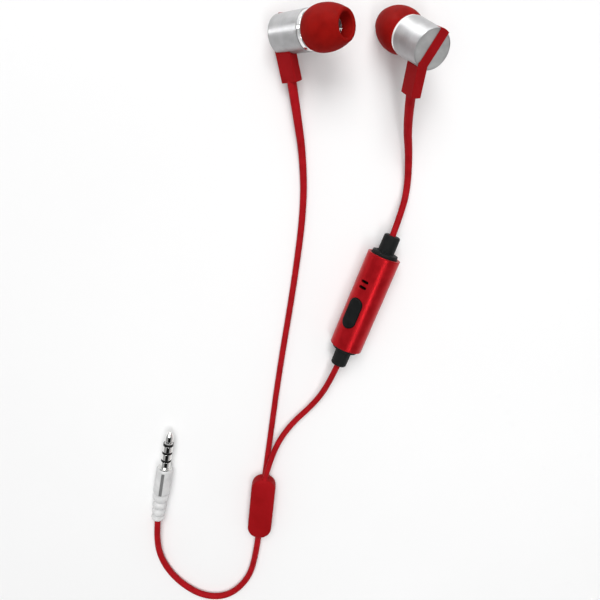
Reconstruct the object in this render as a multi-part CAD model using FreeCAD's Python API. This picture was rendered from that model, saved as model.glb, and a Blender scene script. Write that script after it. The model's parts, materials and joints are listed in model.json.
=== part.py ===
import FreeCAD, Part
import math
import os

os.makedirs("parts", exist_ok=True)

V = FreeCAD.Vector

# All sizes in millimetres. X runs to the right earbud, Y away from the plug, Z up from the surface.

# Earbud shell and its two ends, measured along the earbud's own axis from the outer back face.
SHELL_BACK_R = 5.3
SHELL_FRONT_R = 5.5
SHELL_LENGTH = 10.5
SHELL_BORE_R = 5.0
BACK_CAP_THICK = 0.8
RING_END = 11.7
RING_END_R = 4.6
NECK_R = 2.5
BARB_R = 2.66
BARB_START = 18.0
BARB_END = 19.0
NOZZLE_END = 19.7
NOZZLE_BORE_R = 1.75

# Silicone ear tip.
TIP_REAR = 11.9
TIP_FRONT = 23.0
TIP_MAX_R = 6.1
TIP_MAX_AT = 15.8
TIP_BORE_R = 2.78
TIP_MOUTH_R = 3.05

# Strap across the back cap and the stem that it runs into.
STRAP_WIDTH = 2.9
STRAP_THICK = 0.4
STRAP_WRAP = 4.6
STRAP_ANGLE = 27.0
STEM_DEPTH = 5.0
STEM_OFFSET = 2.0
STEM_END = 12.5

# Driver, measured along the same axis.
FRAME_R = 4.95
YOKE_R = 3.2
MAGNET_R = 2.2
COIL_R = 2.62

# Where each earbud lies: back centre, heading, elevation and roll of its axis.
LEFT_BACK = V(-20.6, 5.0, 3.9)
LEFT_HEADING = 2.0
LEFT_ELEVATION = 41.0
LEFT_ROLL = 17.0
RIGHT_BACK = V(18.45, -0.5, 21.42)
RIGHT_HEADING = 136.0
RIGHT_ELEVATION = -57.0
RIGHT_ROLL = -4.0

# Microphone and remote: a round tube with a collar at each end.
MIC_CENTRE = V(5.2, -73.0, 5.25)
MIC_HEADING = 69.5
MIC_ROLL = 39.0
MIC_R = 5.25
MIC_BORE_R = 4.4
MIC_HALF = 16.0
COLLAR_FLANGE_R = 4.1
COLLAR_FLANGE = 1.1
COLLAR_NECK_R = 2.6
COLLAR_NECK = 5.6
BUTTON_AT = -3.7
BUTTON_LENGTH = 10.2
BUTTON_WIDTH = 4.6
BUTTON_PROUD = 0.5
BUTTON_GAP = 0.12
SLOT_AT = 6.1
SLOT_LENGTH = 2.4
SLOT_WIDTH = 0.8
SLOT_SPACING = 1.9

# Splitter: a flat capsule.
SPLITTER_CENTRE = V(-29.0, -151.0, 2.5)
SPLITTER_HEADING = 84.0
SPLITTER_LENGTH = 24.3
SPLITTER_WIDTH = 8.5
SPLITTER_THICK = 5.0
SPLITTER_CORNER_R = 4.0
SPLITTER_EDGE_R = 1.6

# Four-pole 3.5 mm plug, measured along its own axis from the cord end of the strain relief.
PLUG_REAR = V(-66.6, -155.6, 3.0)
PLUG_HEADING = 79.0
PLUG_SHAFT_R = 1.75
PLUG_GRIP_R = 2.95
RELIEF_END = 10.8
GRIP_END = 21.2
SHOULDER_END = 21.8
PLUG_TIP_END = 35.8
INSULATOR_AT = (24.6, 27.7, 30.8)
INSULATOR_WIDTH = 0.85
PLUG_CORE_R = 1.2
PLUG_PIN_R = 0.6

# Cords.
BRANCH_R = 0.98
MAIN_R = 1.1
SOCKET = 1.2
LEFT_ROUTE = [
    V(-16.0, -17.0, 4.0), V(-14.4, -28.0, 1.3), V(-13.9, -43.0, 1.0), V(-16.9, -67.0, 1.0),
    V(-22.2, -99.0, 1.0), V(-25.6, -124.0, 1.1),
]
LEFT_END_HEIGHT = 1.35
RIGHT_ROUTE = [
    V(14.9, -18.4, 9.8), V(17.2, -28.5, 3.2), V(17.4, -39.0, 1.7), V(15.0, -46.6, 4.3),
]
MIC_ROUTE = [
    V(-5.2, -100.8, 4.4), V(-9.8, -110.0, 1.5), V(-19.4, -119.6, 1.3), V(-25.2, -129.4, 3.3),
]
MIC_END_HEIGHT = 3.6
MAIN_ROUTE = [
    V(-31.6, -173.0, 1.5), V(-34.6, -184.2, 1.15), V(-42.2, -192.4, 1.15),
    V(-52.0, -192.8, 1.15), V(-61.4, -185.6, 1.15), V(-67.0, -175.8, 1.3), V(-68.0, -164.8, 2.3),
]


def solid_of_revolution(profile):
    """Turn a closed profile of edges, given in the X-Z plane, about the Z axis."""
    face = Part.Face(Part.Wire(profile))
    return face.revolve(V(0, 0, 0), V(0, 0, 1), 360)


def line(a, b):
    """A straight profile edge between two (radius, height) pairs."""
    return Part.LineSegment(V(a[0], 0, a[1]), V(b[0], 0, b[1])).toShape()


def bow(a, b, c):
    """A profile arc from a through b to c, each a (radius, height) pair."""
    return Part.Arc(V(a[0], 0, a[1]), V(b[0], 0, b[1]), V(c[0], 0, c[1])).toShape()


def polygon_of_revolution(points):
    """Turn a closed polygon of (radius, height) pairs about the Z axis."""
    edges = [line(a, b) for a, b in zip(points, points[1:] + points[:1])]
    return solid_of_revolution(edges)


def disc(radius, low, high):
    """A plain cylinder on the Z axis between two heights."""
    return Part.makeCylinder(radius, high - low, V(0, 0, low))


def ring(inner, outer, low, high):
    """A plain tube on the Z axis between two heights."""
    return disc(outer, low, high).cut(disc(inner, low - 1, high + 1))


def box(x0, x1, y0, y1, z0, z1):
    """A box between its two corners."""
    return Part.makeBox(x1 - x0, y1 - y0, z1 - z0, V(x0, y0, z0))


def pill(length, width, x0, x1, z_mid):
    """A stadium-shaped prism: long along Z, wide along Y, thick along X."""
    half = length / 2 - width / 2
    body = box(x0, x1, -width / 2, width / 2, z_mid - half, z_mid + half)
    for z in (z_mid - half, z_mid + half):
        end = Part.makeCylinder(width / 2, x1 - x0, V(x0, 0, z), V(1, 0, 0))
        body = body.fuse(end)
    return body.removeSplitter()


def placed(shape, origin, x_dir, y_dir, z_dir):
    """Move a shape from its own axes to the given origin and axes."""
    m = FreeCAD.Matrix(
        x_dir.x, y_dir.x, z_dir.x, origin.x,
        x_dir.y, y_dir.y, z_dir.y, origin.y,
        x_dir.z, y_dir.z, z_dir.z, origin.z,
        0, 0, 0, 1,
    )
    moved = shape.copy()
    moved.Placement = FreeCAD.Placement(m).multiply(shape.Placement)
    return moved


def save(name, shape):
    """Write one sub-part and report its size."""
    shape.exportStep(f"parts/{name}.step")
    print(name, round(shape.Volume, 2), "mm3", "valid" if shape.isValid() else "INVALID")


def bud_axes(heading, elevation, roll):
    """The stem, side and tip directions of an earbud lying on the surface."""
    h = math.radians(heading)
    e = math.radians(elevation)
    tip = V(math.cos(e) * math.cos(h), math.cos(e) * math.sin(h), math.sin(e))
    near = V(0, -1, 0) - tip * (tip.dot(V(0, -1, 0)))
    near.normalize()
    side = tip.cross(near)
    r = math.radians(roll)
    stem = near * math.cos(r) + side * math.sin(r)
    return stem, tip.cross(stem), tip


def shell_outline():
    """Everything inside the shell's outer surface."""
    return polygon_of_revolution([
        (0, 0), (SHELL_BACK_R, 0), (SHELL_FRONT_R, SHELL_LENGTH), (0, SHELL_LENGTH),
    ])


def body_shell():
    """Slightly tapered aluminium tube with eased outer edges."""
    ease = 0.2
    b = SHELL_BACK_R
    f = SHELL_FRONT_R
    n = SHELL_LENGTH
    return polygon_of_revolution([
        (SHELL_BORE_R, 0), (b - ease, 0), (b, ease), (f, n - ease), (f - ease, n),
        (SHELL_BORE_R, n),
    ])


def back_cap():
    """Flat disc that closes the back of the shell."""
    return disc(SHELL_BORE_R, 0, BACK_CAP_THICK)


def nozzle():
    """Front housing: spigot, polished ring, neck and barb, bored through."""
    r = SHELL_FRONT_R - 0.2
    outer = solid_of_revolution([
        line((0, 7.6), (SHELL_BORE_R, 7.6)),
        line((SHELL_BORE_R, 7.6), (SHELL_BORE_R, SHELL_LENGTH)),
        line((SHELL_BORE_R, SHELL_LENGTH), (r, SHELL_LENGTH)),
        bow((r, SHELL_LENGTH), (5.1, 11.2), (RING_END_R, RING_END)),
        line((RING_END_R, RING_END), (NECK_R, 12.1)),
        line((NECK_R, 12.1), (NECK_R, BARB_START)),
        line((NECK_R, BARB_START), (BARB_R, BARB_START + 0.3)),
        line((BARB_R, BARB_START + 0.3), (BARB_R, BARB_END)),
        line((BARB_R, BARB_END), (NECK_R, NOZZLE_END)),
        line((NECK_R, NOZZLE_END), (0, NOZZLE_END)),
        line((0, NOZZLE_END), (0, 7.6)),
    ])
    chamber = polygon_of_revolution([
        (0, 7.5), (4.5, 7.5), (4.5, 10.3), (NOZZLE_BORE_R, 11.5), (NOZZLE_BORE_R, 20.5), (0, 20.5),
    ])
    seat = disc(2.15, NOZZLE_END - 0.3, NOZZLE_END + 1)
    return outer.cut(chamber).cut(seat)


def nozzle_mesh():
    """Perforated metal disc seated in the mouth of the nozzle."""
    low = NOZZLE_END - 0.3
    mesh = disc(2.15, low, low + 0.2)
    holes = [V(0, 0, low - 1)]
    for count, radius in ((6, 0.75), (12, 1.45)):
        for k in range(count):
            a = 2 * math.pi * k / count
            holes.append(V(radius * math.cos(a), radius * math.sin(a), low - 1))
    for at in holes:
        mesh = mesh.cut(Part.makeCylinder(0.22, 3, at))
    return mesh


def acoustic_damper():
    """Felt plug in the nozzle bore."""
    return disc(NOZZLE_BORE_R, 13.2, 14.4)


def ear_tip():
    """Umbrella-shaped silicone tip: dome, rounded lip and inner sleeve, open behind."""
    return solid_of_revolution([
        bow((5.2, TIP_REAR), (5.87, 13.7), (TIP_MAX_R, TIP_MAX_AT)),
        bow((TIP_MAX_R, TIP_MAX_AT), (5.6, 19.4), (4.3, 22.4)),
        bow((4.3, 22.4), (3.72, TIP_FRONT), (TIP_MOUTH_R, 22.5)),
        line((TIP_MOUTH_R, 22.5), (TIP_BORE_R, 20.3)),
        line((TIP_BORE_R, 20.3), (TIP_BORE_R, 12.9)),
        line((TIP_BORE_R, 12.9), (3.4, 12.9)),
        line((3.4, 12.9), (3.4, 19.0)),
        bow((3.4, 19.0), (3.65, 19.8), (4.2, 19.9)),
        bow((4.2, 19.9), (5.2, 18.2), (5.52, 15.8)),
        bow((5.52, 15.8), (5.33, 13.75), (4.8, 12.05)),
        line((4.8, 12.05), (5.2, TIP_REAR)),
    ])


def stem(hand):
    """Soft moulding: strap over the cap and one rim, and the square stem it flows into."""
    half = STRAP_WIDTH / 2
    back = -STRAP_THICK
    wrap = polygon_of_revolution([
        (0, back), (SHELL_BACK_R + STRAP_THICK, back), (SHELL_BACK_R + STRAP_THICK, 0.3),
        (SHELL_BACK_R + 0.2, STRAP_WRAP), (0, STRAP_WRAP),
    ])
    strap = wrap.common(box(-9, 0, -half, half, back - 1, 9))
    root = box(0, 5.0, -half, half, back, 0)
    turn = hand * STRAP_ANGLE
    band = strap.fuse(root)
    band.rotate(V(0, 0, 0), V(0, 0, 1), turn)
    shift = hand * STEM_OFFSET
    leg = box(3.0, STEM_END, shift - half, shift + half, back, STEM_DEPTH)
    return band.fuse(leg).cut(shell_outline()).removeSplitter()


def driver_frame():
    """Plastic basket that carries the driver."""
    return polygon_of_revolution([
        (YOKE_R, 3.9), (FRAME_R, 3.9), (FRAME_R, 7.6), (4.5, 7.6), (4.5, 4.5), (YOKE_R, 4.5),
    ])


def driver_yoke():
    """Steel cup round the magnet."""
    return polygon_of_revolution([
        (0, 2.9), (YOKE_R, 2.9), (YOKE_R, 5.2), (2.75, 5.2), (2.75, 3.4), (0, 3.4),
    ])


def driver_magnet():
    """Magnet disc."""
    return disc(MAGNET_R, 3.4, 4.6)


def pole_plate():
    """Steel plate on the magnet."""
    return disc(MAGNET_R + 0.1, 4.6, 5.1)


def voice_coil():
    """Copper coil in the ring gap."""
    return ring(COIL_R - 0.2, COIL_R, 4.3, 6.1)


def diaphragm():
    """Thin film with a centre dome and a rolled surround."""
    film = 0.12
    c = COIL_R
    return solid_of_revolution([
        line((0, 6.9), (0.3, 6.9)),
        bow((0.3, 6.9), (1.5, 6.68), (c, 6.1)),
        line((c, 6.1), (c + 0.2, 6.1)),
        bow((c + 0.2, 6.1), (3.55, 6.5), (4.2, 6.1)),
        line((4.2, 6.1), (4.38, 6.1)),
        line((4.38, 6.1), (4.38, 6.1 + film)),
        line((4.38, 6.1 + film), (4.25, 6.1 + film)),
        bow((4.25, 6.1 + film), (3.55, 6.5 + film), (c + 0.15, 6.1 + film)),
        bow((c + 0.15, 6.1 + film), (1.5, 6.68 + film), (0.3, 6.9 + film)),
        line((0.3, 6.9 + film), (0, 6.9 + film)),
        line((0, 6.9 + film), (0, 6.9)),
    ])


def terminal_board():
    """Small board with two solder pads behind the yoke."""
    board = disc(3.0, 2.4, 2.9).cut(box(-4, 4, 1.9, 4, 2, 3.2))
    for y in (-1.3, 0.5):
        pad = Part.makeCylinder(0.45, 0.3, V(1.5, y, 2.1))
        board = board.fuse(pad)
    return board.removeSplitter()


def stem_mouth(back, axes, hand):
    """The centre of the stem's end face."""
    mouth = V(STEM_END, hand * STEM_OFFSET, (STEM_DEPTH - STRAP_THICK) / 2)
    return back + axes[0] * mouth.x + axes[1] * mouth.y + axes[2] * mouth.z


def earbud(side, back, axes, hand, lead):
    """Write the fourteen sub-parts of one earbud, the stem with a socket for its cord."""
    pieces = {
        "body_shell": body_shell(),
        "back_cap": back_cap(),
        "nozzle": nozzle(),
        "nozzle_mesh": nozzle_mesh(),
        "acoustic_damper": acoustic_damper(),
        "ear_tip": ear_tip(),
        "stem": stem(hand),
        "driver_frame": driver_frame(),
        "driver_yoke": driver_yoke(),
        "driver_magnet": driver_magnet(),
        "pole_plate": pole_plate(),
        "voice_coil": voice_coil(),
        "diaphragm": diaphragm(),
        "terminal_board": terminal_board(),
    }
    for name, shape in pieces.items():
        moved = placed(shape, back, *axes)
        if name == "stem":
            moved = moved.cut(lead)
        save(f"{side}_{name}", moved)


def mic_axes():
    """The button, side and lengthwise directions of the microphone tube."""
    h = math.radians(MIC_HEADING)
    r = math.radians(MIC_ROLL)
    along = V(math.cos(h), math.sin(h), 0)
    across = V(-math.sin(h), math.cos(h), 0)
    button = V(0, 0, math.cos(r)) + across * math.sin(r)
    return button, along.cross(button), along


def mic_housing():
    """Round anodised tube with the button opening and two sound slots."""
    ease = 0.25
    tube = polygon_of_revolution([
        (MIC_BORE_R, -MIC_HALF), (MIC_R - ease, -MIC_HALF), (MIC_R, -MIC_HALF + ease),
        (MIC_R, MIC_HALF - ease), (MIC_R - ease, MIC_HALF), (MIC_BORE_R, MIC_HALF),
    ])
    grow = 2 * BUTTON_GAP
    tube = tube.cut(pill(BUTTON_LENGTH + grow, BUTTON_WIDTH + grow, 1.0, 7.0, BUTTON_AT))
    for z in (SLOT_AT - SLOT_SPACING / 2, SLOT_AT + SLOT_SPACING / 2):
        slot = pill(SLOT_LENGTH, SLOT_WIDTH, 1.0, 7.0, 0)
        slot.rotate(V(0, 0, 0), V(1, 0, 0), 90)
        slot.translate(V(0, 0, z))
        tube = tube.cut(slot)
    return tube


def mic_collar(up):
    """End collar: plug inside the tube, flange outside it and a neck for the cord."""
    h = MIC_HALF
    f = h + COLLAR_FLANGE
    n = f + COLLAR_NECK
    collar = polygon_of_revolution([
        (0, h - 2.0), (MIC_BORE_R, h - 2.0), (MIC_BORE_R, h), (COLLAR_FLANGE_R, h),
        (COLLAR_FLANGE_R, f - 0.3), (COLLAR_FLANGE_R - 0.3, f), (COLLAR_NECK_R + 0.05, f),
        (COLLAR_NECK_R - 0.05, n - 0.7), (COLLAR_NECK_R - 0.7, n), (0, n),
    ])
    if not up:
        collar.rotate(V(0, 0, 0), V(1, 0, 0), 180)
    return collar


def call_button():
    """Pill-shaped key with a retaining rim under the tube wall and a post."""
    key = pill(BUTTON_LENGTH, BUTTON_WIDTH, 2.9, 7.0, BUTTON_AT)
    key = key.common(disc(MIC_R + BUTTON_PROUD, -MIC_HALF, MIC_HALF))
    rim = pill(BUTTON_LENGTH + 1.3, BUTTON_WIDTH + 1.3, 2.9, 7.0, BUTTON_AT)
    rim = rim.common(disc(MIC_BORE_R - 0.2, -MIC_HALF, MIC_HALF))
    post = Part.makeCylinder(0.9, 1.6, V(1.45, 0, BUTTON_AT), V(1, 0, 0))
    return key.fuse(rim).fuse(post).removeSplitter()


def mic_circuit_board():
    """Board held between the two collars."""
    return box(-1.2, -0.4, -4.0, 4.0, -MIC_HALF + 2.0, MIC_HALF - 2.0)


def switch_base():
    """Square body of the key switch, with the well for its plunger."""
    base = box(-0.4, 0.9, -1.8, 1.8, BUTTON_AT - 1.8, BUTTON_AT + 1.8)
    return base.cut(Part.makeCylinder(0.9, 3, V(-0.2, 0, BUTTON_AT), V(1, 0, 0)))


def switch_plunger():
    """Round plunger of the key switch."""
    return Part.makeCylinder(0.8, 1.2, V(0.2, 0, BUTTON_AT), V(1, 0, 0))


def microphone_capsule():
    """Round capsule under the sound slots."""
    return Part.makeCylinder(2.4, 1.8, V(-0.4, 0, SLOT_AT), V(1, 0, 0))


def mic_gasket():
    """Soft tube between the capsule and the wall, round both slots."""
    outer = Part.makeCylinder(2.4, 4, V(1.4, 0, SLOT_AT), V(1, 0, 0))
    inner = Part.makeCylinder(1.9, 6, V(1.0, 0, SLOT_AT), V(1, 0, 0))
    return outer.cut(inner).common(disc(MIC_BORE_R, -MIC_HALF, MIC_HALF))


def microphone(axes, upper, lower):
    """Write the remote's sub-parts, each collar with a socket for its cord."""
    pieces = {
        "mic_housing": mic_housing(),
        "mic_upper_collar": mic_collar(True),
        "mic_lower_collar": mic_collar(False),
        "call_button": call_button(),
        "mic_circuit_board": mic_circuit_board(),
        "switch_base": switch_base(),
        "switch_plunger": switch_plunger(),
        "microphone_capsule": microphone_capsule(),
        "mic_gasket": mic_gasket(),
    }
    leads = {"mic_upper_collar": upper, "mic_lower_collar": lower}
    for name, shape in pieces.items():
        moved = placed(shape, MIC_CENTRE, *axes)
        if name in leads:
            moved = moved.cut(leads[name])
        save(name, moved)


def splitter_axes():
    """The up, side and lengthwise directions of the splitter."""
    h = math.radians(SPLITTER_HEADING)
    along = V(math.cos(h), math.sin(h), 0)
    up = V(0, 0, 1)
    return up, along.cross(up), along


def splitter(axes, leads):
    """Write the splitter's cover, with a socket for each cord, and the core moulded into it."""
    half = SPLITTER_THICK / 2
    w = SPLITTER_WIDTH / 2
    n = SPLITTER_LENGTH / 2
    cover = box(-half, half, -w, w, -n, n)
    uprights = [e for e in cover.Edges if abs(e.tangentAt(0).x) > 0.9]
    cover = cover.makeFillet(SPLITTER_CORNER_R, uprights)
    flat = [e for e in cover.Edges if abs(abs(e.CenterOfMass.x) - half) < 0.01]
    cover = cover.makeFillet(SPLITTER_EDGE_R, flat)
    core = box(-0.6, 0.6, -2.2, 2.2, -8.0, 8.0)
    cover = placed(cover.cut(core), SPLITTER_CENTRE, *axes)
    for lead in leads:
        cover = cover.cut(lead)
    save("splitter_shell", cover)
    save("splitter_core", placed(core, SPLITTER_CENTRE, *axes))


def strain_relief():
    """Ribbed tail: end flange and three swelling lobes up to the grip."""
    flange = 2.3
    waist = 1.55
    return solid_of_revolution([
        line((0, 0), (flange - 0.2, 0)),
        line((flange - 0.2, 0), (flange, 0.5)),
        line((flange, 0.5), (flange, 0.9)),
        line((flange, 0.9), (waist, 1.6)),
        bow((waist, 1.6), (2.35, 3.1), (1.75, 4.5)),
        bow((1.75, 4.5), (2.5, 6.0), (1.95, 7.5)),
        bow((1.95, 7.5), (2.65, 9.2), (2.4, RELIEF_END)),
        line((2.4, RELIEF_END), (0, RELIEF_END)),
        line((0, RELIEF_END), (0, 0)),
    ])


def plug_grip():
    """Round grip with a shallow lengthwise recess on top, bored for the inner pieces."""
    r = PLUG_GRIP_R
    grip = polygon_of_revolution([
        (0, RELIEF_END), (r - 0.35, RELIEF_END), (r, RELIEF_END + 1.0), (r - 0.1, GRIP_END - 0.4),
        (r - 0.4, GRIP_END), (0, GRIP_END),
    ])
    grip = grip.cut(box(r - 0.3, r + 1, -0.65, 0.65, RELIEF_END + 0.2, GRIP_END - 0.9))
    grip = grip.cut(disc(2.2, 12.0, 18.0))
    return grip.cut(disc(PLUG_SHAFT_R, 17.0, GRIP_END + 1))


def plug_pieces():
    """The metal contacts, insulators and inner moulding of the plug."""
    w = INSULATOR_WIDTH / 2
    low, mid, high = INSULATOR_AT
    r = PLUG_SHAFT_R
    core = disc(PLUG_CORE_R, 18.0, high + w)
    for at in INSULATOR_AT:
        core = core.fuse(disc(r, at - w, at + w))
    core = core.cut(disc(PLUG_PIN_R, 17.0, high + 2)).removeSplitter()
    sleeve = disc(r, 18.0, low - w).fuse(disc(2.4, GRIP_END, SHOULDER_END))
    sleeve = sleeve.cut(disc(PLUG_CORE_R, 17.0, low)).removeSplitter()
    tip = polygon_of_revolution([
        (0, high + w), (1.45, high + w), (1.3, high + w + 0.5), (1.55, high + w + 1.1),
        (1.5, PLUG_TIP_END - 1.5), (0.4, PLUG_TIP_END), (0, PLUG_TIP_END),
    ])
    pin = disc(PLUG_PIN_R, 18.0, high + 1)
    return {
        "plug_insulators": core,
        "plug_sleeve": sleeve,
        "plug_ring_two": ring(PLUG_CORE_R, r, low + w, mid - w),
        "plug_ring_one": ring(PLUG_CORE_R, r, mid + w, high - w),
        "plug_tip": tip.fuse(pin).removeSplitter(),
        "plug_inner_mould": disc(2.2, 12.0, 18.0),
    }


def plug_axes():
    """The up, side and lengthwise directions of the plug."""
    h = math.radians(PLUG_HEADING)
    along = V(math.cos(h), math.sin(h), 0)
    up = V(0, 0, 1)
    return up, along.cross(up), along


def plug(axes, lead):
    """Write the plug's sub-parts, the strain relief with a socket for the cord."""
    pieces = plug_pieces()
    pieces["plug_strain_relief"] = strain_relief()
    pieces["plug_grip"] = plug_grip()
    for name, shape in pieces.items():
        moved = placed(shape, PLUG_REAR, *axes)
        if name == "plug_strain_relief":
            moved = moved.cut(lead)
        save(name, moved)


def cord(name, radius, points):
    """Sweep a round cord along straight runs joined by tangent arcs."""
    edges = []
    start = points[0]
    for before, corner, after in zip(points, points[1:], points[2:]):
        into = corner - before
        out = after - corner
        reach = 0.45 * min(into.Length, out.Length)
        into.normalize()
        out.normalize()
        half = into.getAngle(out) / 2
        bend = reach / math.tan(half)
        inward = out - into
        inward.normalize()
        enter = corner - into * reach
        leave = corner + out * reach
        middle = corner + inward * (bend / math.cos(half) - bend)
        edges.append(Part.LineSegment(start, enter).toShape())
        edges.append(Part.Arc(enter, middle, leave).toShape())
        print(name, "bend", round(bend, 1), "turn", round(math.degrees(2 * half), 1))
        start = leave
    edges.append(Part.LineSegment(start, points[-1]).toShape())
    path = Part.Wire(edges)
    section = Part.Wire([Part.Circle(points[0], points[1] - points[0], radius).toShape()])
    tube = path.makePipeShell([section], True, False)
    save(name, tube)
    expected = path.Length * math.pi * radius * radius
    fill = round(tube.Volume / expected, 4)
    print(name, "length", round(path.Length, 1), "radius", radius, "fill", fill)
    print(name, "points", [(round(p.x, 2), round(p.y, 2), round(p.z, 2)) for p in points])
    return tube


left_axes = bud_axes(LEFT_HEADING, LEFT_ELEVATION, LEFT_ROLL)
right_axes = bud_axes(RIGHT_HEADING, RIGHT_ELEVATION, RIGHT_ROLL)
remote_axes = mic_axes()
fork_axes = splitter_axes()
jack_axes = plug_axes()

left_start = stem_mouth(LEFT_BACK, left_axes, -1) - left_axes[0] * SOCKET
right_start = stem_mouth(RIGHT_BACK, right_axes, 1) - right_axes[0] * SOCKET
remote_reach = remote_axes[2] * (MIC_HALF + COLLAR_FLANGE + COLLAR_NECK - SOCKET)
fork_reach = fork_axes[2] * (SPLITTER_LENGTH / 2 - SOCKET - 0.4)
fork_upper = SPLITTER_CENTRE + fork_reach
left_finish = V(fork_upper.x, fork_upper.y, LEFT_END_HEIGHT)
mic_finish = V(fork_upper.x, fork_upper.y, MIC_END_HEIGHT)
main_finish = PLUG_REAR + jack_axes[2] * SOCKET

left_cord = cord("left_cord", BRANCH_R, [left_start] + LEFT_ROUTE + [left_finish])
right_cord = cord(
    "right_cord", BRANCH_R, [right_start] + RIGHT_ROUTE + [MIC_CENTRE + remote_reach]
)
mic_cord = cord("mic_cord", BRANCH_R, [MIC_CENTRE - remote_reach] + MIC_ROUTE + [mic_finish])
main_cord = cord(
    "main_cord", MAIN_R, [SPLITTER_CENTRE - fork_reach] + MAIN_ROUTE + [main_finish]
)

earbud("left", LEFT_BACK, left_axes, -1, left_cord)
earbud("right", RIGHT_BACK, right_axes, 1, right_cord)
microphone(remote_axes, right_cord, mic_cord)
splitter(fork_axes, [left_cord, mic_cord, main_cord])
plug(jack_axes, main_cord)
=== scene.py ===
import json
import math

import bmesh
import bpy
from mathutils import Matrix, Vector


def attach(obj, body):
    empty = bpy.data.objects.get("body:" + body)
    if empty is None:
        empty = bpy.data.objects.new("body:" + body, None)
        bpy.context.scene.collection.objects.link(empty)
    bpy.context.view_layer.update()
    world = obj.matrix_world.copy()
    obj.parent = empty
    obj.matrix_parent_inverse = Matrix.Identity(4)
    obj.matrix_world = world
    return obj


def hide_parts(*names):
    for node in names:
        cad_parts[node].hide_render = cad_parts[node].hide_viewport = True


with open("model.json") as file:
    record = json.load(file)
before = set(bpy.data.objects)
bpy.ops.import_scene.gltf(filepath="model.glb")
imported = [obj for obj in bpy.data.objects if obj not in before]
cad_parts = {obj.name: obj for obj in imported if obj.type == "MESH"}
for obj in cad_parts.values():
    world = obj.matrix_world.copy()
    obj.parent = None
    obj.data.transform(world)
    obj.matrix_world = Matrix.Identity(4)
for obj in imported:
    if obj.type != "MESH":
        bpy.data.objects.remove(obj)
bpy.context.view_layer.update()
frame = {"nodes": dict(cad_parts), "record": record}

# Millimetres inside each piece; every piece's matrix brings it into the frame, in metres.
MM = 0.001

# Earbud, measured along its own axis from the outer back face.
SHELL_BACK_R = 5.3
SHELL_FRONT_R = 5.5
SHELL_BORE_R = 5.0
SHELL_LENGTH = 10.5
CAP_R = 4.98
CAP_THICK = 0.8
SPIGOT_START = 7.6
CHAMBER_R = 4.5
RING_R = 5.34
RING_END = 11.78
NECK_R = 2.5
BARB_R = 2.66
BARB_START = 18.0
BARB_END = 19.0
NOZZLE_BORE_R = 1.75
NOZZLE_END = 19.7
GAUZE_SEAT_R = 2.15
GAUZE_AT = 19.52
TIP_REAR = 11.9
TIP_FRONT = 23.0
TIP_MAX_R = 6.1
TIP_MAX_AT = 15.8
TIP_BORE_R = 2.78
TIP_WALL_R = 3.4
TIP_MOUTH_R = 3.05

# Where each earbud lies: the centre of its back, then its axis's heading, elevation and roll.
LEFT_BACK = (-20.6, 5.0, 3.9)
LEFT_LIE = (2.0, 41.0, 17.0)
RIGHT_BACK = (18.45, -0.5, 21.42)
RIGHT_LIE = (136.0, -57.0, -4.0)

# Microphone tube, its collars, key and two sound slots.
MIC_CENTRE = (5.2, -73.0, 5.25)
MIC_HEADING = 69.5
MIC_ROLL = 39.0
MIC_R = 5.25
MIC_BORE_R = 4.4
MIC_HALF = 16.0
FLANGE_R = 4.1
FLANGE_END = 17.1
COLLAR_END = 22.7
BUTTON_AT = -3.7
BUTTON_R = 2.28
BUTTON_STRAIGHT = 5.6
BUTTON_TOP = 5.75
BUTTON_GAP = 0.14
SLOT_AT = 6.1
SLOT_SPACING = 1.9
SLOT_R = 0.46
SLOT_LENGTH = 2.65
FELT_R = 1.86

# Splitter: a flat capsule.
SPLITTER_CENTRE = (-29.0, -151.0, 2.5)
SPLITTER_HEADING = 84.0
SPLITTER_LENGTH = 24.3
SPLITTER_WIDTH = 8.5
SPLITTER_THICK = 5.0
SPLITTER_CORNER_R = 4.0
SPLITTER_EDGE_R = 1.6

# Plug, measured along its own axis from the cord end of the strain relief.
PLUG_REAR = (-66.6, -155.6, 3.0)
PLUG_HEADING = 79.0
RELIEF_END = 10.75
GRIP_START = 10.8
GRIP_END = 21.2
GRIP_R = 2.95
INLAY_START = 11.0
INLAY_END = 20.3
INLAY_HALF = 0.62
SHAFT_R = 1.75
CORE_R = 1.2
SHOULDER_END = 21.8
INSULATOR_AT = (24.6, 27.7, 30.8)
INSULATOR_HALF = 0.42
CONTACT_HALF_GAP = 0.43
PLUG_END = 35.8

# Cords, in metres.
BRANCH_D = 0.00196
MAIN_D = 0.0022
LEFT_ROUTE = [
    (-0.01773, -0.00633, 0.00456), (-0.016, -0.017, 0.004), (-0.0144, -0.028, 0.0013),
    (-0.0139, -0.043, 0.001), (-0.0169, -0.067, 0.001), (-0.0222, -0.099, 0.001),
    (-0.0256, -0.124, 0.0011), (-0.0279, -0.14051, 0.00135),
]
RIGHT_ROUTE = [
    (0.01463, -0.01019, 0.01609), (0.0149, -0.0184, 0.0098), (0.0172, -0.0285, 0.0032),
    (0.0174, -0.039, 0.0017), (0.015, -0.0466, 0.0043), (0.01273, -0.05286, 0.00525),
]
MIC_ROUTE = [
    (-0.00233, -0.09314, 0.00525), (-0.0052, -0.1008, 0.0044), (-0.0098, -0.11, 0.0015),
    (-0.0194, -0.1196, 0.0013), (-0.0252, -0.1294, 0.0033), (-0.0279, -0.14051, 0.0036),
]
MAIN_ROUTE = [
    (-0.0301, -0.16149, 0.0025), (-0.0316, -0.173, 0.0015), (-0.0346, -0.1842, 0.00115),
    (-0.0422, -0.1924, 0.00115), (-0.052, -0.1928, 0.00115), (-0.0614, -0.1856, 0.00115),
    (-0.067, -0.1758, 0.0013), (-0.068, -0.1648, 0.0023), (-0.06637, -0.15442, 0.003),
]


# ---------------------------------------------------------------- placing and shaping

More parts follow.
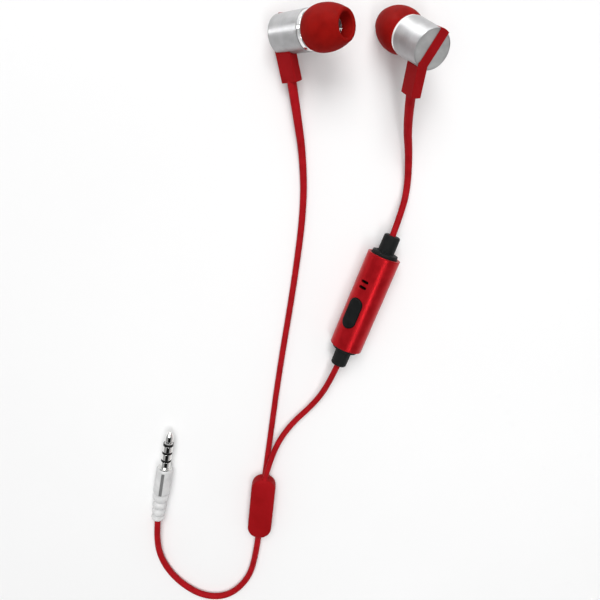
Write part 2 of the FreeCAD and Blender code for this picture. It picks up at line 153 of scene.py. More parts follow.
def placed(origin, x_dir, y_dir, z_dir):
    """Matrix from a piece's own millimetre axes to the frame."""
    turn = Matrix((x_dir, y_dir, z_dir)).transposed().to_4x4()
    return Matrix.Translation(Vector(origin) * MM) @ turn @ Matrix.Scale(MM, 4)


def bud_place(back, lie):
    """Earbud axes: X along the stem, Z towards the ear tip."""
    heading, elevation, roll = (math.radians(a) for a in lie)
    tip = Vector((
        math.cos(elevation) * math.cos(heading),
        math.cos(elevation) * math.sin(heading),
        math.sin(elevation),
    ))
    near = Vector((0, -1, 0))
    near = (near - tip * tip.dot(near)).normalized()
    stem = near * math.cos(roll) + tip.cross(near) * math.sin(roll)
    return placed(back, stem, tip.cross(stem), tip)


def flat_axes(heading):
    """Lengthwise and across directions of a piece lying on the floor."""
    h = math.radians(heading)
    return Vector((math.cos(h), math.sin(h), 0)), Vector((-math.sin(h), math.cos(h), 0))


def bow(a, b, c, steps=10):
    """Points on the arc from a through b to c, c left out."""
    ax, ay = a
    bx, by = b
    cx, cy = c
    d = 2 * (ax * (by - cy) + bx * (cy - ay) + cx * (ay - by))
    sa, sb, sc = ax * ax + ay * ay, bx * bx + by * by, cx * cx + cy * cy
    ux = (sa * (by - cy) + sb * (cy - ay) + sc * (ay - by)) / d
    uy = (sa * (cx - bx) + sb * (ax - cx) + sc * (bx - ax)) / d
    r = math.hypot(ax - ux, ay - uy)
    start = math.atan2(ay - uy, ax - ux)
    mid = math.atan2(by - uy, bx - ux)
    end = math.atan2(cy - uy, cx - ux)
    way = 1 if (mid - start) % (2 * math.pi) < (end - start) % (2 * math.pi) else -1
    sweep = ((end - start) * way) % (2 * math.pi) * way
    return [
        (ux + r * math.cos(start + sweep * k / steps), uy + r * math.sin(start + sweep * k / steps))
        for k in range(steps)
    ]


def eased(profile, closed):
    """Round each (radius, height, ease) corner with a small curve; plain pairs stay corners."""
    out = []
    n = len(profile)
    for i, p in enumerate(profile):
        ease = p[2] if len(p) > 2 else 0
        if not ease or (not closed and i in (0, n - 1)):
            out.append((p[0], p[1]))
            continue
        here = Vector(p[:2])
        back = Vector(profile[i - 1][:2]) - here
        on = Vector(profile[(i + 1) % n][:2]) - here
        half = back.angle(on) / 2
        reach = min(ease / math.tan(half), 0.48 * back.length, 0.48 * on.length)
        a = here + back.normalized() * reach
        c = here + on.normalized() * reach
        for k in range(6):
            t = k / 5
            q = a * (1 - t) ** 2 + here * 2 * t * (1 - t) + c * t * t
            out.append((q.x, q.y))
    return out


def finished(name, bm, place, sharp=38):
    """Make the object from its mesh, smooth but for its true edges."""
    bmesh.ops.remove_doubles(bm, verts=bm.verts, dist=1e-5)
    bmesh.ops.recalc_face_normals(bm, faces=bm.faces)
    mesh = bpy.data.meshes.new(name)
    bm.to_mesh(mesh)
    bm.free()
    mesh.shade_smooth()
    mesh.set_sharp_from_angle(angle=math.radians(sharp))
    piece = bpy.data.objects.new(name, mesh)
    bpy.context.scene.collection.objects.link(piece)
    piece.matrix_world = place
    return piece


def weighted(piece):
    """Even normals next to small eased edges."""
    normals = piece.modifiers.new("Normals", "WEIGHTED_NORMAL")
    normals.keep_sharp = True
    normals.weight = 80
    return piece


def turned(name, profile, place, closed=True, segments=128, stretch=(0, 0), shape=None):
    """Turn a profile about the piece's Z axis; stretch pulls the round apart along X and Y."""
    points = eased(profile, closed)
    bm = bmesh.new()
    rings = []
    quarter = segments // 4
    for r, z in points:
        ring = []
        for q in range(4):
            sx = stretch[0] / 2 * (1 if q in (0, 3) else -1)
            sy = stretch[1] / 2 * (1 if q in (0, 1) else -1)
            for k in range(quarter + 1):
                a = (q + k / quarter) * math.pi / 2
                co = Vector((r * math.cos(a) + sx, r * math.sin(a) + sy, z))
                ring.append(bm.verts.new(shape(co, a) if shape else co))
        rings.append(ring)
    pairs = list(zip(rings, rings[1:]))
    if closed:
        pairs.append((rings[-1], rings[0]))
    for low, high in pairs:
        for k in range(len(low)):
            j = (k + 1) % len(low)
            bm.faces.new((low[k], low[j], high[j], high[k]))
    bmesh.ops.remove_doubles(bm, verts=bm.verts, dist=1e-5)
    if not closed:
        edges = [e for e in bm.edges if e.is_boundary]
        bmesh.ops.holes_fill(bm, edges=edges, sides=0)
    return weighted(finished(name, bm, place))


def pill(r, length, low, high, place):
    """A stadium-shaped cutter along the piece's X axis."""
    profile = [(0, low), (r, low), (r, high), (0, high)]
    piece = turned("cutter", profile, place, closed=False, segments=48, stretch=(length - 2 * r, 0))
    piece.modifiers.clear()
    return piece


def slab(low, high, place):
    """A box-shaped cutter between two corners."""
    bm = bmesh.new()
    bmesh.ops.create_cube(bm, size=1)
    size = Vector(high) - Vector(low)
    middle = (Vector(high) + Vector(low)) / 2
    for v in bm.verts:
        v.co = Vector(a * b for a, b in zip(v.co, size)) + middle
    return finished("cutter", bm, place)


def carved(piece, cutters, ease):
    """Cut the cutters out of the piece and ease the edges that they leave."""
    piece.modifiers.clear()
    for cutter in cutters:
        cut = piece.modifiers.new("Cut", "BOOLEAN")
        cut.operation = "DIFFERENCE"
        cut.solver = "EXACT"
        cut.object = cutter
    bpy.context.view_layer.update()
    ready = piece.evaluated_get(bpy.context.evaluated_depsgraph_get())
    mesh = bpy.data.meshes.new_from_object(ready)
    piece.modifiers.clear()
    piece.data = mesh
    mesh.set_sharp_from_angle(angle=math.radians(32))
    for cutter in cutters:
        bpy.data.objects.remove(cutter)
    edge = piece.modifiers.new("Edge", "BEVEL")
    edge.width = ease
    edge.segments = 3
    edge.limit_method = "ANGLE"
    edge.angle_limit = math.radians(40)
    return weighted(piece)


def softened(name, node, place):
    """The stem's CAD solid with its corners worn round and its strap end drawn down on the shell."""
    mesh = frame["nodes"][node].data.copy()
    mesh.transform(place.inverted())
    bm = bmesh.new()
    bm.from_mesh(mesh)
    strap_end = [v for v in bm.verts if v.co.x < -3]
    for v in strap_end:
        sink = 0.15 + 0.12 * min(1, max(0, v.co.z / 2.5))
        v.co.xy -= v.co.xy.normalized() * sink
    piece = finished(name, bm, place, sharp=180)
    grid = piece.modifiers.new("Grid", "REMESH")
    grid.mode = "VOXEL"
    grid.voxel_size = 0.11
    grid.use_smooth_shade = True
    smooth = piece.modifiers.new("Smooth", "SMOOTH")
    smooth.factor = 0.5
    smooth.iterations = 5
    return piece


# ---------------------------------------------------------------- materials

def surface(name, dark, light, rough, grain, relief, fixed=None, blotch=0.35, unit=1.0):
    """A painted, moulded or turned surface, from a fine noise over a broad one.

    The two together run the colour from dark to light and the roughness over rough; the fine one
    alone makes the relief, given as its strength and its height in millimetres. grain and blotch
    are the scales of the two per millimetre, and unit turns object coordinates into millimetres.
    fixed holds values for the shader's other sockets.
    """
    material = bpy.data.materials.new(name)
    material.use_nodes = True
    tree = material.node_tree
    shader = tree.nodes["Principled BSDF"]
    for socket, value in (fixed or {}).items():
        shader.inputs[socket].default_value = value
    place = tree.nodes.new("ShaderNodeTexCoord")
    fine_place = tree.nodes.new("ShaderNodeMapping")
    fine_place.inputs["Scale"].default_value = [g * unit for g in grain]
    fine = tree.nodes.new("ShaderNodeTexNoise")
    fine.inputs["Scale"].default_value = 1.0
    fine.inputs["Detail"].default_value = 5.0
    fine.inputs["Roughness"].default_value = 0.6
    broad = tree.nodes.new("ShaderNodeTexNoise")
    broad.inputs["Scale"].default_value = blotch * unit
    broad.inputs["Detail"].default_value = 3.0
    blend = tree.nodes.new("ShaderNodeMath")
    blend.operation = "MULTIPLY_ADD"
    blend.inputs[1].default_value = 0.5
    ramp = tree.nodes.new("ShaderNodeValToRGB")
    ramp.color_ramp.elements[0].position = 0.55
    ramp.color_ramp.elements[0].color = (*dark, 1)
    ramp.color_ramp.elements[1].position = 0.95
    ramp.color_ramp.elements[1].color = (*light, 1)
    gloss = tree.nodes.new("ShaderNodeMapRange")
    gloss.inputs["From Min"].default_value = 0.5
    gloss.inputs["From Max"].default_value = 1.0
    gloss.inputs["To Min"].default_value = rough[0]
    gloss.inputs["To Max"].default_value = rough[1]
    bump = tree.nodes.new("ShaderNodeBump")
    bump.inputs["Strength"].default_value = relief[0]
    bump.inputs["Distance"].default_value = relief[1] * MM
    link = tree.links.new
    link(place.outputs["Object"], fine_place.inputs["Vector"])
    link(fine_place.outputs["Vector"], fine.inputs["Vector"])
    link(place.outputs["Object"], broad.inputs["Vector"])
    link(fine.outputs["Fac"], blend.inputs[0])
    link(broad.outputs["Fac"], blend.inputs[2])
    link(blend.outputs["Value"], ramp.inputs["Fac"])
    link(blend.outputs["Value"], gloss.inputs["Value"])
    link(fine.outputs["Fac"], bump.inputs["Height"])
    link(ramp.outputs["Color"], shader.inputs["Base Color"])
    link(gloss.outputs["Result"], shader.inputs["Roughness"])
    link(bump.outputs["Normal"], shader.inputs["Normal"])
    return material


METRES = 1000.0
METAL = {"Metallic": 1.0}
SOFT = {"Subsurface Weight": 0.06, "Subsurface Radius": (1.0, 0.2, 0.1), "Subsurface Scale": 0.0007}

ALUMINIUM = surface(
    "satin_aluminium", (0.38, 0.38, 0.385), (0.48, 0.48, 0.485), (0.36, 0.48), (0.5, 0.5, 26),
    (0.25, 0.012), {"Metallic": 0.8},
)
CAP = surface(
    "grey_cap", (0.36, 0.36, 0.36), (0.48, 0.48, 0.48), (0.50, 0.65), (11, 11, 11), (0.35, 0.02),
    {"Metallic": 0.4, "Specular IOR Level": 0.3},
)
CHROME = surface(
    "polished_ring", (0.86, 0.86, 0.86), (0.95, 0.95, 0.95), (0.08, 0.18), (0.6, 0.6, 18), (0.06, 0.006),
    METAL,
)
MESH_STEEL = surface(
    "mesh_steel", (0.20, 0.21, 0.22), (0.46, 0.47, 0.48), (0.25, 0.45), (9, 9, 9), (0.1, 0.006), METAL,
)
SILICONE = surface(
    "red_silicone", (0.22, 0.004, 0.003), (0.30, 0.007, 0.005), (0.54, 0.68), (7, 7, 7), (0.18, 0.02),
    {**SOFT, "Specular IOR Level": 0.03},
)
MOULDING = surface(
    "red_moulding", (0.26, 0.0045, 0.006), (0.325, 0.0065, 0.0095), (0.45, 0.58), (9, 9, 9), (0.3, 0.02),
    {**SOFT, "Specular IOR Level": 0.04}, blotch=0.15,
)
CORD = surface(
    "red_cord", (0.30, 0.005, 0.008), (0.39, 0.008, 0.013), (0.42, 0.55), (5, 5, 5), (0.2, 0.02),
    {**SOFT, "Specular IOR Level": 0.05}, unit=METRES,
)
ANODISED = surface(
    "red_anodised", (0.40, 0.006, 0.010), (0.50, 0.010, 0.016), (0.32, 0.42), (16, 16, 16), (0.2, 0.01),
    {"Metallic": 0.7, "Specular IOR Level": 0.15},
)
BLACK_RUBBER = surface(
    "black_rubber", (0.006, 0.007, 0.007), (0.014, 0.015, 0.015), (0.50, 0.64), (8, 8, 8), (0.35, 0.025),
    {"Specular IOR Level": 0.12},
)
BLACK_KEY = surface(
    "black_key", (0.004, 0.005, 0.005), (0.010, 0.011, 0.011), (0.50, 0.64), (12, 12, 12), (0.3, 0.015),
    {"Specular IOR Level": 0.1},
)
FELT = surface(
    "black_felt", (0.004, 0.004, 0.004), (0.014, 0.014, 0.014), (0.8, 0.95), (14, 14, 14), (0.8, 0.05),
    {"Specular IOR Level": 0.05},
)
GREY_MOULDING = surface(
    "grey_moulding", (0.56, 0.56, 0.56), (0.68, 0.68, 0.68), (0.36, 0.50), (8, 8, 8), (0.22, 0.02),
    {"Subsurface Weight": 0.04, "Subsurface Radius": (1.0, 0.9, 0.8), "Subsurface Scale": 0.0005},
)
STRIPE = surface(
    "grey_stripe", (0.14, 0.14, 0.14), (0.21, 0.21, 0.21), (0.36, 0.50), (10, 10, 10), (0.22, 0.02),
    {"Specular IOR Level": 0.2},
)
PLUG_METAL = surface(
    "plug_metal", (0.76, 0.76, 0.75), (0.90, 0.90, 0.88), (0.05, 0.12), (0.5, 0.5, 22),
    (0.08, 0.008), METAL,
)
PLUG_INSULATION = surface(
    "plug_insulation", (0.003, 0.003, 0.003), (0.008, 0.008, 0.008), (0.4, 0.55), (10, 10, 10), (0.2, 0.01),
    {"Specular IOR Level": 0.15},
)
INNER = {
    "damper_felt": surface(
        "damper_felt", (0.50, 0.50, 0.47), (0.78, 0.78, 0.74), (0.8, 0.95), (14, 14, 14), (0.8, 0.05),
        {"Sheen Weight": 0.4}, unit=METRES,
    ),
    "inner_plastic": surface(
        "inner_plastic", (0.05, 0.05, 0.055), (0.10, 0.10, 0.11), (0.4, 0.55), (8, 8, 8), (0.3, 0.02),
        unit=METRES,
    ),
    "plated_steel": surface(
        "plated_steel", (0.48, 0.48, 0.45), (0.66, 0.66, 0.62), (0.2, 0.35), (10, 10, 10), (0.1, 0.01),
        METAL, unit=METRES,
    ),
    "copper_wire": surface(
        "copper_wire", (0.45, 0.16, 0.05), (0.80, 0.38, 0.18), (0.2, 0.35), (3, 3, 14), (0.6, 0.03),
        METAL, unit=METRES,
    ),
    "clear_film": surface(
        "clear_film", (0.55, 0.52, 0.42), (0.75, 0.72, 0.60), (0.12, 0.22), (2, 2, 2), (0.1, 0.01),
        {"Coat Weight": 0.3}, unit=METRES,
    ),
    "circuit_board": surface(
        "circuit_board", (0.01, 0.10, 0.03), (0.03, 0.20, 0.07), (0.2, 0.35), (1.5, 1.5, 1.5), (0.2, 0.03),
        {"Coat Weight": 0.4}, unit=METRES,
    ),
    "black_rubber": surface(
        "soft_black", (0.012, 0.013, 0.014), (0.026, 0.028, 0.029), (0.5, 0.65), (8, 8, 8), (0.35, 0.025),
        unit=METRES,
    ),
}


def dress(piece, material, body, slot, *nodes):
    """Give a piece its material, its body and the CAD nodes that it stands for."""
    piece.data.materials.clear()
    piece.data.materials.append(material)
    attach(piece, body)
    if nodes:
        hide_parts(*nodes)
    return piece


# ---------------------------------------------------------------- camera

camera = bpy.data.objects.new("camera", bpy.data.cameras.new("camera"))
bpy.context.scene.collection.objects.link(camera)
camera.location = (-0.0152, -0.01504, 0.18587)
camera.rotation_euler = (math.radians(-17.6), 0, 0)
camera.data.sensor_width = 36
camera.data.lens = 36
camera.data.clip_start = 0.005
camera.data.clip_end = 20
bpy.context.scene.camera = camera


# ---------------------------------------------------------------- cords

def cable(name, points, diameter, swell):
    """A cord on its control points; swell gives how much thicker it is at its first few points."""
    data = bpy.data.curves.new(f"{name}_cable", "CURVE")
    data.dimensions = "3D"
    spline = data.splines.new("NURBS")
    spline.points.add(len(points) - 1)
    for i, p in enumerate(points):
        spline.points[i].co = (*p, 1)
        spline.points[i].radius = swell[i] if i < len(swell) else 1
    spline.order_u = 3
    spline.use_endpoint_u = True
    spline.resolution_u = 24
    data.bevel_depth = diameter / 2
    data.bevel_resolution = 8
    data.use_fill_caps = True
    piece = bpy.data.objects.new(f"{name}_cable", data)
    bpy.context.scene.collection.objects.link(piece)
    return dress(piece, CORD, "set", "red_cord", f"{name}_cord")


left_cable = cable("left", LEFT_ROUTE, BRANCH_D, (1.42, 1.3, 1.12, 1.04))
right_cable = cable("right", RIGHT_ROUTE, BRANCH_D, (1.42, 1.3, 1.12, 1.04))
mic_cable = cable("mic", MIC_ROUTE, BRANCH_D, ())
main_cable = cable("main", MAIN_ROUTE, MAIN_D, ())


# ---------------------------------------------------------------- earbuds

def woven_mesh(name, place, radius, height):
    """Two layers of wires that pass over and under each other, cut to a disc."""
    pitch = 0.3
    wire = 0.055
    sides = 6
    bm = bmesh.new()
    count = int(radius / pitch)
    for across in (0, 1):
        for i in range(-count, count + 1):
            off = (i + 0.5 * (count % 2)) * pitch
            if abs(off) >= radius - wire:
                continue
            half = math.sqrt(radius ** 2 - off ** 2)
            steps = max(8, int(half * 2 / pitch * 6))
            last = None
            for k in range(steps + 1):
                u = -half + 2 * half * k / steps
                wave = math.cos(math.pi * u / pitch) * (1 if (i + across) % 2 else -1)
                z = height + wave * wire
                ring = []
                for s in range(sides):
                    a = 2 * math.pi * s / sides
                    v = off + wire * math.cos(a)
                    w = z + wire * math.sin(a)
                    co = (u, v, w) if across else (v, u, w)
                    ring.append(bm.verts.new(co))
                if last:
                    for s in range(sides):
                        t = (s + 1) % sides
                        bm.faces.new((last[s], last[t], ring[t], ring[s]))
                last = ring
    return finished(name, bm, place, sharp=80)


def earbud(side, place):
    """The outside of one earbud."""
    shell = turned(
        f"{side}_shell",
        [
            (SHELL_BORE_R, SHELL_LENGTH), (SHELL_BORE_R, 0.0, 0.05), (SHELL_BACK_R, 0.0, 0.28),
            (SHELL_FRONT_R, SHELL_LENGTH, 0.12), (SHELL_FRONT_R - 0.25, SHELL_LENGTH),
        ],
        place,
    )
    dress(shell, ALUMINIUM, "set", "satin_aluminium", f"{side}_body_shell")
    cap = turned(
        f"{side}_cap",
        [(0, 0.03), (3.2, 0.03), (CAP_R, 0.03, 0.06), (CAP_R, CAP_THICK), (0, CAP_THICK)],
        place, closed=False,
    )
    dress(cap, CAP, "set", "grey_cap", f"{side}_back_cap")
    nozzle = turned(
        f"{side}_nozzle_front",
        [
            (SHELL_BORE_R, SPIGOT_START), (SHELL_BORE_R, SHELL_LENGTH + 0.02),
            (RING_R, SHELL_LENGTH + 0.04, 0.06), (RING_R - 0.04, RING_END - 0.23, 0.12),
            (RING_R - 0.34, RING_END - 0.02, 0.08), (4.4, RING_END, 0.1), (NECK_R, 12.1, 0.4),
            (NECK_R, BARB_START), (BARB_R, BARB_START + 0.3, 0.1), (BARB_R, BARB_END, 0.2),
            (NECK_R, NOZZLE_END, 0.12), (GAUZE_SEAT_R + 0.02, NOZZLE_END, 0.05),
            (GAUZE_SEAT_R, NOZZLE_END - 0.3), (NOZZLE_BORE_R, NOZZLE_END - 0.3),
            (NOZZLE_BORE_R, 11.5), (CHAMBER_R, 10.3), (CHAMBER_R, SPIGOT_START),
        ],
        place,
    )
    dress(nozzle, CHROME, "set", "polished_ring", f"{side}_nozzle")
    gauze = woven_mesh(f"{side}_woven_mesh", place, GAUZE_SEAT_R - 0.05, GAUZE_AT)
    dress(gauze, MESH_STEEL, "set", "mesh_steel", f"{side}_nozzle_mesh")
    outline = (
        bow((5.2, TIP_REAR), (5.87, 13.7), (TIP_MAX_R, TIP_MAX_AT), 14)
        + bow((TIP_MAX_R, TIP_MAX_AT), (5.6, 19.4), (4.3, 22.4), 26)
        + bow((4.3, 22.4), (3.72, TIP_FRONT), (TIP_MOUTH_R, 22.5), 12)
        + [(TIP_MOUTH_R, 22.5), (TIP_BORE_R + 0.06, 20.8, 0.3), (TIP_BORE_R + 0.06, 20.3, 0.1)]
        + [(TIP_BORE_R, 20.2, 0.1), (TIP_BORE_R, 12.9, 0.12), (TIP_WALL_R, 12.9, 0.15)]
        + bow((TIP_WALL_R, 19.0), (3.65, 19.8), (4.2, 19.9), 8)
        + bow((4.2, 19.9), (5.2, 18.2), (5.52, TIP_MAX_AT), 14)
        + bow((5.52, TIP_MAX_AT), (5.33, 13.75), (4.8, 12.05), 12)
        + [(4.8, 12.05, 0.1), (4.98, TIP_REAR - 0.04, 0.15)]
    )
    tip = turned(f"{side}_silicone_tip", outline, place)
    dress(tip, SILICONE, f"{side}_tip", "red_silicone", f"{side}_ear_tip")
    stem = softened(f"{side}_stem_moulding", f"{side}_stem", place)
    dress(stem, MOULDING, "set", "red_moulding", f"{side}_stem")


earbud("left", bud_place(LEFT_BACK, LEFT_LIE))
earbud("right", bud_place(RIGHT_BACK, RIGHT_LIE))


# ---------------------------------------------------------------- microphone and button

along, across = flat_axes(MIC_HEADING)
roll = math.radians(MIC_ROLL)
button_way = Vector((0, 0, math.cos(roll))) + across * math.sin(roll)
side_way = along.cross(button_way)
mic_place = placed(MIC_CENTRE, button_way, side_way, along)
key_place = placed(Vector(MIC_CENTRE) + along * BUTTON_AT, along, -side_way, button_way)


def slot_place(offset):
    """Axes of one sound slot, its length across the tube."""
    return placed(Vector(MIC_CENTRE) + along * (SLOT_AT + offset), side_way, along, button_way)


housing = turned(
    "mic_tube",
    [
        (MIC_BORE_R, -MIC_HALF, 0.08), (MIC_R, -MIC_HALF, 0.22), (MIC_R, MIC_HALF, 0.22),
        (MIC_BORE_R, MIC_HALF, 0.08),
    ],
    mic_place, segments=160,
)
opening_r = BUTTON_R + BUTTON_GAP
openings = [pill(opening_r, BUTTON_STRAIGHT + 2 * opening_r, 1.0, 7.0, key_place)]
openings += [pill(SLOT_R, SLOT_LENGTH, 1.0, 7.0, slot_place(s * SLOT_SPACING / 2)) for s in (-1, 1)]
carved(housing, openings, 0.1)
dress(housing, ANODISED, "set", "red_anodised", "mic_housing")

felt = turned(
    "sound_felt",
    [(0, 1.42), (FELT_R, 1.42), (FELT_R, 1.6, 0.06), (0, 1.6)],
    slot_place(0), closed=False, segments=48,
)
dress(felt, FELT, "set", "black_rubber")

for name, way in (("upper", 1), ("lower", -1)):
    collar = turned(
        f"{name}_collar",
        [
            (0.9, MIC_HALF - 1), (MIC_BORE_R - 0.05, MIC_HALF - 1),
            (MIC_BORE_R - 0.05, MIC_HALF + 0.02), (FLANGE_R, MIC_HALF + 0.02, 0.05),
            (FLANGE_R, FLANGE_END, 0.3), (2.62, FLANGE_END, 0.25), (2.55, COLLAR_END, 0.6),
            (1.25, COLLAR_END, 0.18), (1.0, COLLAR_END - 0.7),
        ],
        placed(MIC_CENTRE, button_way, side_way * way, along * way),
    )
    dress(collar, BLACK_RUBBER, "set", "black_rubber", f"mic_{name}_collar")


def crowned(co, _angle):
    """Bend the key's top to the tube."""
    if co.z > MIC_BORE_R:
        co.z -= BUTTON_TOP - math.sqrt(BUTTON_TOP ** 2 - co.y ** 2)
    return co


key = turned(
    "call_key",
    [
        (0, 3.2), (BUTTON_R, 3.2, 0.1), (BUTTON_R, BUTTON_TOP - 0.1, 0.5), (1.2, BUTTON_TOP - 0.02),
        (0, BUTTON_TOP),
    ],
    key_place, closed=False, stretch=(BUTTON_STRAIGHT, 0), shape=crowned,
)
dress(key, BLACK_KEY, "key", "black_key", "call_button")


# ---------------------------------------------------------------- splitter

along, across = flat_axes(SPLITTER_HEADING)
half = SPLITTER_THICK / 2
splitter = turned(
    "splitter_body",
    [
        (0, -half), (SPLITTER_CORNER_R, -half, SPLITTER_EDGE_R), (SPLITTER_CORNER_R, -0.06),
        (SPLITTER_CORNER_R + 0.03, 0.0), (SPLITTER_CORNER_R, 0.06),
        (SPLITTER_CORNER_R, half, SPLITTER_EDGE_R), (0, half),
    ],
    placed(SPLITTER_CENTRE, along, across, Vector((0, 0, 1))),
    closed=False,
    stretch=(SPLITTER_LENGTH - 2 * SPLITTER_CORNER_R, SPLITTER_WIDTH - 2 * SPLITTER_CORNER_R),
)
dress(splitter, MOULDING, "set", "red_moulding", "splitter_shell")


# ---------------------------------------------------------------- plug

along, across = flat_axes(PLUG_HEADING)
plug_place = placed(PLUG_REAR, Vector((0, 0, 1)), -across, along)


def lobed(co, angle):
    """Squeeze the strain relief's lobes from one side and the other by turns."""
    pitch = 2.95
    if 1.4 < co.z < 10.4:
        co.xy *= 1 + 0.05 * math.sin(co.z / pitch * math.pi) * math.cos(2 * angle)
    return co


relief = turned(
    "strain_relief",
    [(1.0, 0.4), (1.12, 0.0, 0.1), (2.1, 0.0, 0.15), (2.32, 0.5, 0.15), (2.3, 0.95, 0.15)]
    + bow((1.52, 1.6), (2.4, 3.05), (1.72, 4.5), 14)
    + bow((1.72, 4.5), (2.55, 6.0), (1.92, 7.5), 14)
    + bow((1.92, 7.5), (2.7, 9.2), (2.42, RELIEF_END), 14)
    + [(2.42, RELIEF_END), (1.0, RELIEF_END)],
    plug_place, shape=lobed,
)
dress(relief, GREY_MOULDING, "set", "grey_moulding", "plug_strain_relief")
grip = turned(
    "grip",
    [
        (SHAFT_R + 0.01, GRIP_START + 1.2), (2.3, GRIP_START), (2.62, GRIP_START, 0.25),
        (GRIP_R, GRIP_START + 1, 0.5), (GRIP_R - 0.09, GRIP_END - 0.4, 0.25),
        (GRIP_R - 0.4, GRIP_END, 0.15), (SHAFT_R + 0.01, GRIP_END),
    ],
    plug_place,
)
carved(grip, [slab((2.62, -INLAY_HALF, INLAY_START), (4, INLAY_HALF, INLAY_END), plug_place)], 0.12)
dress(grip, GREY_MOULDING, "set", "grey_moulding", "plug_grip")
inlay_middle = Vector(PLUG_REAR) + along * (INLAY_START + INLAY_END) / 2
inlay = turned(
    "grip_stripe",
    [(0, 2.5), (0.1, 2.5), (0.1, 2.68, 0.05), (0, 2.68)],
    placed(inlay_middle, along, across, Vector((0, 0, 1))), closed=False, segments=32,
    stretch=(INLAY_END - INLAY_START - 0.4, 2 * INLAY_HALF - 0.4),
)
dress(inlay, STRIPE, "set", "grey_moulding")


def contact_ring(number):
    """The profile of the contact between one insulator and the next."""
    start = INSULATOR_AT[number] + CONTACT_HALF_GAP
    end = INSULATOR_AT[number + 1] - CONTACT_HALF_GAP
    return [(CORE_R, start), (SHAFT_R, start, 0.07), (SHAFT_R, end, 0.07), (CORE_R, end)]


sleeve_end = INSULATOR_AT[0] - CONTACT_HALF_GAP
contacts = {
    "sleeve": [
        (CORE_R, 20.0), (SHAFT_R - 0.01, 20.0), (SHAFT_R - 0.01, SHOULDER_END - 0.65),
        (2.4, SHOULDER_END - 0.65, 0.05), (2.4, SHOULDER_END, 0.16), (SHAFT_R, SHOULDER_END, 0.08),
        (SHAFT_R, sleeve_end, 0.06), (CORE_R, sleeve_end),
    ],
    "ring_two": contact_ring(0),
    "ring_one": contact_ring(1),
}
for name, profile in contacts.items():
    piece = turned(f"contact_{name}", profile, plug_place)
    dress(piece, PLUG_METAL, "set", "plug_metal", f"plug_{name}")
bands = [(CORE_R, 20.0)]
for at in INSULATOR_AT:
    bands += [
        (CORE_R, at - INSULATOR_HALF), (SHAFT_R - 0.02, at - INSULATOR_HALF),
        (SHAFT_R - 0.02, at + INSULATOR_HALF), (CORE_R, at + INSULATOR_HALF),
    ]
bands[-2] = (*bands[-2], 0.08)
bands += [(CORE_R - 0.2, bands[-1][1]), (CORE_R - 0.2, 20.0)]
insulators = turned("insulators", bands, plug_place)
dress(insulators, PLUG_INSULATION, "set", "plug_insulation", "plug_insulators")
tip = turned(
    "contact_tip",
    [
        (0, 31.1), (1.5, 31.2, 0.05), (1.28, 31.75, 0.25), (1.56, 32.4, 0.2), (1.52, 34.25, 0.3),
        (0.42, PLUG_END - 0.14, 0.25), (0, PLUG_END),
    ],
    plug_place, closed=False,
)
dress(tip, PLUG_METAL, "set", "plug_metal", "plug_tip")


# ---------------------------------------------------------------- inner CAD pieces

for row in frame["record"]["subparts"]:
    node = frame["nodes"][row["node"]]
    if not node.hide_render:
        node.data.materials.clear()
        node.data.materials.append(INNER[row["material_slot"]])


# ---------------------------------------------------------------- floor, light and sky

def soft_light(name, at, aim, width, height, power, spread=180, glossy=True, diffuse=True):
    """A rectangular soft box facing its aim point."""
    light = bpy.data.lights.new(name, "AREA")
    light.shape = "RECTANGLE"
    light.size = width
    light.size_y = height
    light.energy = power
    light.spread = math.radians(spread)
    lamp = bpy.data.objects.new(name, light)
    bpy.context.scene.collection.objects.link(lamp)
    lamp.location = at
    lamp.rotation_euler = (Vector(aim) - Vector(at)).to_track_quat("-Z", "Y").to_euler()
    lamp.visible_camera = False
    lamp.visible_glossy = glossy
    lamp.visible_diffuse = diffuse
    return lamp


MIDDLE = (-0.02, -0.08, 0)
LEFT_SHELL = (-0.016, 0.005, 0.008)
RIGHT_SHELL = (0.016, 0.002, 0.017)
MIC_TUBE = (0.005, -0.073, 0.005)
soft_light("key", (0.0, 0.80, 1.05), MIDDLE, 0.8, 0.7, 11.0)
soft_light("overhead", (-0.06, -0.10, 1.20), MIDDLE, 0.9, 0.9, 4.0, glossy=False)
soft_light("strip", (0.093, -0.251, 0.518), MIC_TUBE, 0.06, 0.18, 0.45)
soft_light("left_card", (-0.27, 0.05, 0.04), LEFT_SHELL, 0.05, 0.05, 0.0013, spread=12, diffuse=False)
soft_light("right_card", (-0.087, 0.225, 0.05), RIGHT_SHELL, 0.05, 0.06, 0.012, spread=12, diffuse=False)

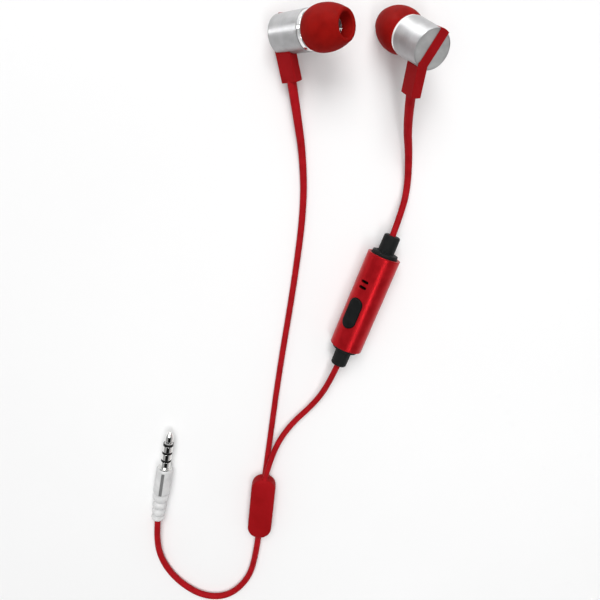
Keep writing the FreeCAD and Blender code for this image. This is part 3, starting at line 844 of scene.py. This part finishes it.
bm = bmesh.new()
bmesh.ops.create_grid(bm, x_segments=8, y_segments=8, size=5)
floor = finished("floor", bm, Matrix.Translation((0, 0, -0.00002)))
FLOOR = surface(
    "pale_floor", (0.88, 0.88, 0.88), (0.91, 0.91, 0.91), (0.7, 0.8), (0.01, 0.01, 0.01), (0.02, 0.01),
    unit=METRES, blotch=0.004,
)
floor.data.materials.append(FLOOR)

world = bpy.data.worlds.new("studio")
bpy.context.scene.world = world
world.use_nodes = True
sky = world.node_tree
background = sky.nodes["Background"]
direction = sky.nodes.new("ShaderNodeTexCoord")


def lobe_of_sky(toward, stops):
    """A ramp over the angle from one direction, as grey values."""
    dot = sky.nodes.new("ShaderNodeVectorMath")
    dot.operation = "DOT_PRODUCT"
    dot.inputs[1].default_value = Vector(toward).normalized()
    ramp = sky.nodes.new("ShaderNodeValToRGB")
    elements = ramp.color_ramp.elements
    while len(elements) > 1:
        elements.remove(elements[-1])
    for i, (at, value) in enumerate(stops):
        element = elements[0] if i == 0 else elements.new(at)
        element.position = at
        element.color = (value, value, value, 1)
    scale = sky.nodes.new("ShaderNodeMath")
    scale.operation = "MULTIPLY_ADD"
    scale.inputs[1].default_value = 0.5
    scale.inputs[2].default_value = 0.5
    sky.links.new(direction.outputs["Generated"], dot.inputs[0])
    sky.links.new(dot.outputs["Value"], scale.inputs[0])
    sky.links.new(scale.outputs["Value"], ramp.inputs["Fac"])
    return ramp.outputs["Color"]


bright = lobe_of_sky((0, 0, 1), [(0.0, 0.9), (0.53, 0.9), (0.64, 0.34), (1.0, 0.40)])
card = lobe_of_sky((0.10, -0.60, 0.79), [(0.0, 1.0), (0.93, 1.0), (0.955, 0.02), (1.0, 0.02)])
mixed = sky.nodes.new("ShaderNodeMix")
mixed.data_type = "RGBA"
mixed.blend_type = "MULTIPLY"
mixed.inputs["Factor"].default_value = 1.0
sky.links.new(bright, mixed.inputs["A"])
sky.links.new(card, mixed.inputs["B"])
sky.links.new(mixed.outputs["Result"], background.inputs["Color"])
background.inputs["Strength"].default_value = 1.0

bpy.context.scene.view_settings.view_transform = "Standard"
